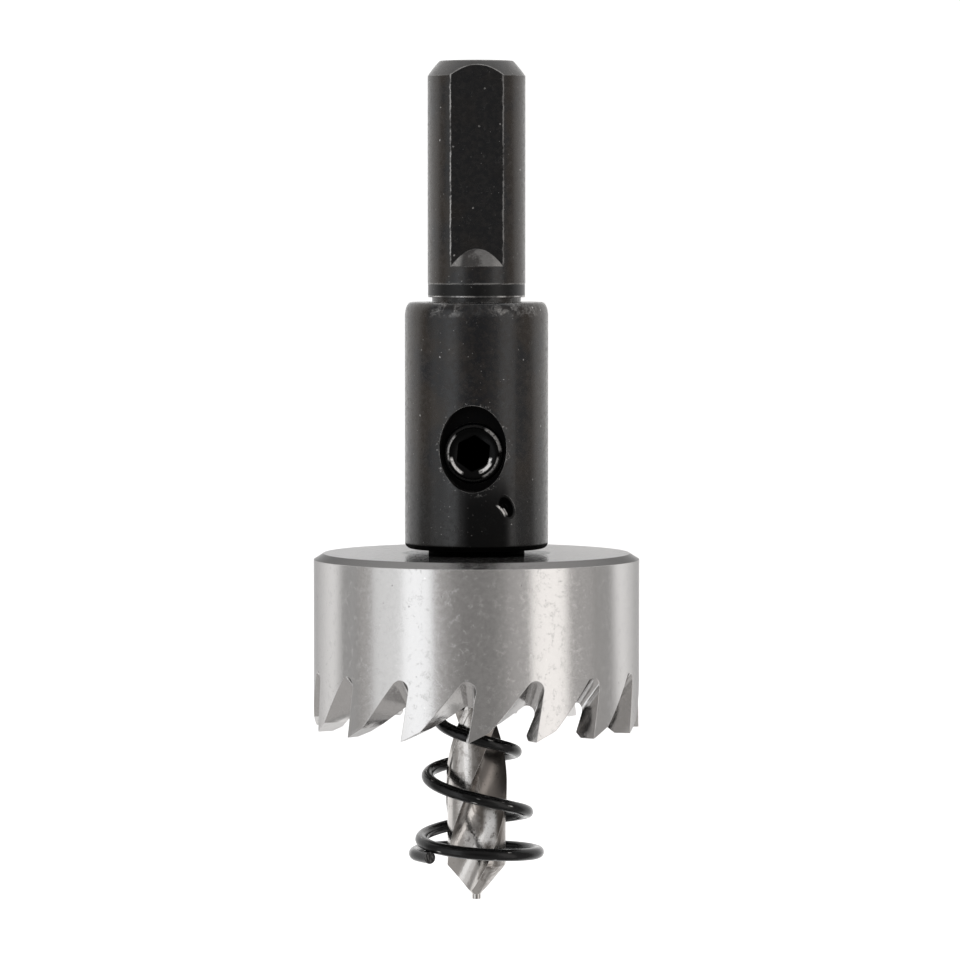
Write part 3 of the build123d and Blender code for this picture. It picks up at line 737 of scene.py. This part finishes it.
def screw_blank(across_flats, columns=96, barrel_rows=60):
    """A flat-point blank with a countersunk hexagon socket, its barrel's rows marked."""
    apothem = across_flats / 2
    sink_slope = tan(radians(90 - SOCKET_SINK_ANGLE / 2))

    def hexagon(angle):
        return apothem / cos((angle + pi / 6) % (pi / 3) - pi / 6)

    face_radius = SCREW_RADIUS - SCREW_BEVEL
    rows = [[(face_radius, 0.0)] * columns]
    for row in range(barrel_rows + 1):
        height = SCREW_LENGTH * row / barrel_rows
        bevel = max(SCREW_BEVEL - height, height - SCREW_LENGTH + SCREW_BEVEL, 0.0)
        rows.append([(SCREW_RADIUS - bevel, height)] * columns)
    rows.append([(face_radius - 0.03, SCREW_LENGTH)] * columns)
    rows.append([(SOCKET_SINK_RADIUS, SCREW_LENGTH)] * columns)
    angles = [2 * pi * column / columns for column in range(columns)]
    edge_radii = [hexagon(angle) for angle in angles]
    rows.append([(radius, SCREW_LENGTH - (SOCKET_SINK_RADIUS - radius) * sink_slope)
                 for radius in edge_radii])
    floor = SCREW_LENGTH - SOCKET_DEPTH
    rows.append([(radius, floor) for radius in edge_radii])
    rows.append([(radius * 0.5, floor - 0.08) for radius in edge_radii])
    turn = radians(SOCKET_TURN)
    points = [(radius * cos(angle + turn), radius * sin(angle + turn), height)
              for row in rows for angle, (radius, height) in zip(angles, row)]
    faces = []
    for row in range(len(rows) - 1):
        for column in range(columns):
            after = (column + 1) % columns
            faces.append((row * columns + column, row * columns + after,
                          (row + 1) * columns + after, (row + 1) * columns + column))
    faces.append(tuple(reversed(range(columns))))
    faces.append(tuple((len(rows) - 1) * columns + column for column in range(columns)))
    mesh = bpy.data.meshes.new("Screw blank")
    mesh.from_pydata(points, [], faces)
    marks = mesh.attributes.new("barrel", "BOOLEAN", "POINT")
    for row in range(1, barrel_rows + 2):
        for column in range(columns):
            marks.data[row * columns + column].value = True
    return mesh


def screw_place():
    """From the screw's own space, with its axis on Z, to the tool's space."""
    stand = Matrix(((1, 0, 0, 0), (0, 0, -1, -DRILL_FLAT_DISTANCE), (0, 1, 0, SCREW_Z), (0, 0, 0, 1)))
    return Matrix.Rotation(radians(SCREW_AZIMUTH), 4, "Z") @ stand


# ------------------------------------------------------------------ settings

def length(name, description, default, low, high):
    """A length in millimetres that a user may change."""
    return FloatProperty(name=name, description=description, default=default, min=low, max=high,
                         precision=3)


def colour(name, description, default):
    return FloatVectorProperty(name=name, description=description, default=default, size=3,
                               min=0.0, max=1.0, subtype="COLOR")


def share(name, description, default):
    return FloatProperty(name=name, description=description, default=default, min=0.0, max=1.0,
                         subtype="FACTOR")


class HoleSawSizes(bpy.types.PropertyGroup):
    """Sizes of the remade pieces, in millimetres."""
    wire_diameter: length("Wire diameter", "Thickness of the spring's wire", SPRING_WIRE, 0.3, 2.0)
    wire_step: length("Wire step", "Length between two rings of the wire's mesh", 0.16, 0.05, 1.0)
    wire_sides: IntProperty(name="Wire sides", description="Faces round the wire", default=28,
                            min=8, max=64)
    thread_pitch: length("Thread pitch", "Rise of the set screw's thread in one turn", 0.8, 0.2, 2.0)
    thread_depth: length("Thread depth", "From the thread's crest to its root", 0.4, 0.05, 0.8)
    socket_across_flats: length("Socket", "Hexagon socket across its flats", 2.5, 1.0, 2.8)


class HoleSawFinishes(bpy.types.PropertyGroup):
    """Colours and wear of the metals."""
    oxide_colour: colour("Oxide", "Black oxide of the arbor", (0.0030, 0.0036, 0.0058))
    oxide_brown: colour("Oxide, brown", "Warmer patches of the oxide", (0.0190, 0.0125, 0.0075))
    oxide_roughness: share("Oxide roughness", "Blur of the arbor's reflections", 0.2)
    # Also the colour of the painted highlights on the pit, the drill's front and the wire.
    bare_and_glint_colour: colour("Bare spots", "Steel where the black is rubbed off", (0.62, 0.61, 0.60))
    steel_colour: colour("Cup steel", "Ground steel of the cup", (0.665, 0.655, 0.648))
    steel_roughness: share("Cup roughness", "Blur of the cup's reflections", 0.18)
    drill_colour: colour("Drill steel", "Bright steel of the drill", (0.56, 0.54, 0.52))
    drill_film: colour("Drill film", "Brown film on the drill", (0.17, 0.15, 0.135))
    drill_roughness: share("Drill roughness", "Blur of the drill's reflections", 0.17)
    wire_colour: colour("Wire", "Black of the spring", (0.003, 0.003, 0.0033))
    wire_roughness: share("Wire roughness", "Blur of the spring's reflections", 0.12)
    wear: share("Wear", "How far the edges are rubbed bright", 0.8)
    edge_rounding: length("Edge rounding", "Radius of the softened edges", 0.09, 0.01, 0.5)


class HoleSawStudio(bpy.types.PropertyGroup):
    """Floor, lights and camera."""
    floor_colour: colour("Floor", "Colour of the floor", (0.92, 0.92, 0.92))
    floor_glow: share("Floor glow", "Light that the floor gives of itself", 0.54)
    shadow_glow: share("Shadow glow", "More of it under the tool, where it would lie in shade", 0.15)
    sky_strength: FloatProperty(name="Room light", description="Strength of the even light",
                                default=0.48, min=0.0, max=5.0)
    left_strength: FloatProperty(name="Left soft box", description="Brightness of the left soft box",
                                 default=0.94, min=0.0, max=20.0)
    right_strength: FloatProperty(name="Right soft box",
                                  description="Brightness of the right soft box",
                                  default=0.85, min=0.0, max=20.0)
    camera_distance: FloatProperty(name="Camera distance", description="From the tool's axis",
                                   default=0.408, min=0.1, max=2.0, unit="LENGTH")
    camera_height: length("Camera height", "Above the drill's tip, along the tool", 54.2, 0.0, 100.0)
    camera_pitch: FloatProperty(name="Camera pitch", description="Down from straight on",
                                default=radians(2.9), min=0.0, max=1.5, subtype="ANGLE")
    lens: FloatProperty(name="Lens", description="Focal length", default=191.8, min=20.0, max=500.0,
                        unit="CAMERA")


# ------------------------------------------------------------------ operators

class HOLESAW_OT_arbor(bpy.types.Operator):
    """Finish the arbor in black oxide"""
    bl_idname = "holesaw.arbor"
    bl_label = "Arbor finish"

    def execute(self, context):
        dress("arbor", black_oxide(context.scene.holesaw_finishes))
        return {"FINISHED"}


class HOLESAW_OT_cup(bpy.types.Operator):
    """Finish the cutter cup in ground steel"""
    bl_idname = "holesaw.cup"
    bl_label = "Cutter cup finish"

    def execute(self, context):
        dress("cutter_cup", ground_steel(context.scene.holesaw_finishes))
        return {"FINISHED"}


class HOLESAW_OT_drill(bpy.types.Operator):
    """Finish the pilot drill in bright steel with its film"""
    bl_idname = "holesaw.drill"
    bl_label = "Pilot drill finish"

    def execute(self, context):
        dress("pilot_drill", polished_drill_steel(context.scene.holesaw_finishes))
        return {"FINISHED"}


class HOLESAW_OT_screw(bpy.types.Operator):
    """Make the set screw with its thread and hexagon socket"""
    bl_idname = "holesaw.screw"
    bl_label = "Set screw"

    def execute(self, context):
        sizes = context.scene.holesaw_sizes
        finish = screw_black(context.scene.holesaw_finishes)
        tree, names = thread_tree()
        screw = solidified(
            "threaded_set_screw", screw_blank(sizes.socket_across_flats), tree,
            {names["Pitch"]: sizes.thread_pitch, names["Depth"]: sizes.thread_depth,
             names["Crest radius"]: SCREW_RADIUS, names["Finish"]: finish.material},
            tool_to_scene() @ screw_place())
        screw.data.shade_smooth()
        screw.data.set_sharp_from_angle(angle=radians(35))
        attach(screw, BODY)
        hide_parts("set_screw")
        return {"FINISHED"}


class HOLESAW_OT_spring(bpy.types.Operator):
    """Wind the ejector spring from round wire"""
    bl_idname = "holesaw.spring"
    bl_label = "Ejector spring"

    def execute(self, context):
        sizes, look = context.scene.holesaw_sizes, context.scene.holesaw_finishes
        finish, cut = black_wire(look), cut_wire(look)
        path = spring_path()
        line = bpy.data.meshes.new("Spring path")
        line.from_pydata(path, [(i, i + 1) for i in range(len(path) - 1)], [])
        tree, names = wire_tree()
        spring = solidified(
            "wire_spring", line, tree,
            {names["Wire diameter"]: sizes.wire_diameter, names["Sides"]: sizes.wire_sides,
             names["Step"]: sizes.wire_step, names["Finish"]: finish.material}, tool_to_scene())
        spring.data.shade_smooth()
        spring.data.set_sharp_from_angle(angle=radians(40))
        spring.data.materials.append(cut.material)
        for face in spring.data.polygons:
            if len(face.vertices) > 4:
                face.material_index = len(spring.data.materials) - 1
        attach(spring, BODY)
        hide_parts("ejector_spring")
        return {"FINISHED"}


def soft_box(name, azimuth, width, brightness, tint):
    """A soft box above the lying tool, turned sideways about its length and facing it."""
    lamp = bpy.data.lights.new(name, "AREA")
    lamp.shape = "RECTANGLE"
    lamp.size, lamp.size_y = width, LAMP_LENGTH
    lamp.energy = brightness * pi * width * LAMP_LENGTH
    lamp.color = tint
    box = bpy.data.objects.new(name, lamp)
    bpy.context.scene.collection.objects.link(box)
    box.matrix_world = (Matrix.Rotation(radians(azimuth), 4, "Y")
                        @ Matrix.Translation((0.0, 0.0, LAMP_DISTANCE)))


def room_light(strength):
    """Even pale room, darker straight above, where the camera hangs."""
    world = bpy.data.worlds.new("Studio")
    bpy.context.scene.world = world
    world.use_nodes = True
    make = Recipe(world.node_tree)
    direction = make.add("ShaderNodeTexCoord").outputs["Generated"]
    _, _, up = make.split(direction)
    dim = make.add("ShaderNodeMapRange", {"Value": up, "From Min": 0.88, "From Max": 0.98,
                                          "To Min": 1.0, "To Max": 0.54},
                   interpolation_type="SMOOTHSTEP").outputs[0]
    glow = make.add("ShaderNodeBackground", {
        "Color": (1.0, 0.975, 0.955, 1.0), "Strength": make.math("MULTIPLY", dim, strength)})
    output = make.add("ShaderNodeOutputWorld")
    make.feed(output.inputs["Surface"], glow.outputs[0])


class HOLESAW_OT_stage(bpy.types.Operator):
    """Set up the floor, the lights and the camera"""
    bl_idname = "holesaw.stage"
    bl_label = "Studio"

    def execute(self, context):
        studio = context.scene.holesaw_studio
        ground = bpy.data.meshes.new("floor")
        corners = [(x * FLOOR_REACH, y * FLOOR_REACH, 0.0)
                   for x, y in ((-1, -1), (1, -1), (1, 1), (-1, 1))]
        ground.from_pydata(corners, [], [(0, 1, 2, 3)])
        floor = bpy.data.objects.new("floor", ground)
        context.scene.collection.objects.link(floor)
        paper = bpy.data.materials.new("Floor paper")
        paper.use_nodes = True
        shader = paper.node_tree.nodes["Principled BSDF"]
        shader.inputs["Roughness"].default_value = 0.9
        shader.inputs["Specular IOR Level"].default_value = 0.0
        shader.inputs["Emission Color"].default_value = (1.0, 1.0, 1.0, 1.0)
        make = Recipe.on(paper.node_tree)
        # The floor glows of itself: a painted pool of light round the tool, with more glow under it
        # where its shadow would fall; outside the pool it is a darker grey without glow.
        across, along, _ = make.split(make.add("ShaderNodeTexCoord").outputs["Object"])
        near = [make.add("ShaderNodeMapRange", {
            "Value": make.math("ABSOLUTE", value), "From Min": far, "From Max": close},
            interpolation_type="SMOOTHSTEP").outputs[0]
            for value, close, far in ((across, 0.041, 0.08), (along, 0.075, 0.16),
                                      (across, 0.010, 0.026))]
        pool = make.math("MULTIPLY", near[0], near[1])
        glow = make.math("MULTIPLY_ADD", near[2], studio.shadow_glow, studio.floor_glow)
        paper_shade = make.add("ShaderNodeMix", data_type="RGBA")
        make.feed(paper_shade.inputs[0], pool)
        make.feed(paper_shade.inputs[6], rgb(studio.floor_colour, 0.68))
        make.feed(paper_shade.inputs[7], rgb(studio.floor_colour))
        make.feed(shader.inputs["Base Color"], paper_shade.outputs[2])
        make.feed(shader.inputs["Emission Strength"],
                  make.math("MULTIPLY", pool, glow))
        ground.materials.append(paper)

        room_light(studio.sky_strength)
        cool, warm = (0.93, 0.965, 1.0), (1.0, 0.97, 0.945)
        soft_box("left soft box", -41.0, 0.21, studio.left_strength, cool)
        soft_box("left fill", -64.0, 0.23, studio.left_strength * 0.5, cool)
        soft_box("right soft box", 51.0, 0.26, studio.right_strength, warm)

        lens = bpy.data.cameras.new("camera")
        lens.lens = studio.lens
        lens.sensor_width = SENSOR_WIDTH
        camera = bpy.data.objects.new("camera", lens)
        context.scene.collection.objects.link(camera)
        spot = Vector((CAMERA_ASIDE, -studio.camera_distance / MM, studio.camera_height))
        camera.location = tool_to_scene() @ spot
        camera.rotation_euler = (pi / 2 - studio.camera_pitch + LYING_TURN, 0.0, 0.0)
        context.scene.camera = camera
        context.scene.view_settings.view_transform = "Standard"
        return {"FINISHED"}


class HOLESAW_PT_panel(bpy.types.Panel):
    """Lists the hole saw's settings and pieces in the sidebar"""
    bl_idname = "HOLESAW_PT_panel"
    bl_label = "Hole saw"
    bl_space_type = "VIEW_3D"
    bl_region_type = "UI"
    bl_category = "Hole saw"

    def draw(self, context):
        for title, settings in (("Sizes (mm)", context.scene.holesaw_sizes),
                                ("Finishes", context.scene.holesaw_finishes),
                                ("Studio", context.scene.holesaw_studio)):
            box = self.layout.box()
            box.label(text=title)
            for name in settings.__annotations__:
                box.prop(settings, name)
        for operator in OPERATORS:
            self.layout.operator(operator.bl_idname)


OPERATORS = (HOLESAW_OT_arbor, HOLESAW_OT_cup, HOLESAW_OT_drill, HOLESAW_OT_screw,
             HOLESAW_OT_spring, HOLESAW_OT_stage)
CLASSES = (HoleSawSizes, HoleSawFinishes, HoleSawStudio, *OPERATORS, HOLESAW_PT_panel)


def register():
    for one in CLASSES:
        bpy.utils.register_class(one)
    bpy.types.Scene.holesaw_sizes = PointerProperty(type=HoleSawSizes)
    bpy.types.Scene.holesaw_finishes = PointerProperty(type=HoleSawFinishes)
    bpy.types.Scene.holesaw_studio = PointerProperty(type=HoleSawStudio)


def unregister():
    del bpy.types.Scene.holesaw_studio
    del bpy.types.Scene.holesaw_finishes
    del bpy.types.Scene.holesaw_sizes
    for one in reversed(CLASSES):
        bpy.utils.unregister_class(one)


def main():
    """Makes every piece and the stage."""
    register()
    bpy.ops.holesaw.arbor()
    bpy.ops.holesaw.cup()
    bpy.ops.holesaw.drill()
    bpy.ops.holesaw.screw()
    bpy.ops.holesaw.spring()
    bpy.ops.holesaw.stage()


if __name__ == "__main__":
    main()
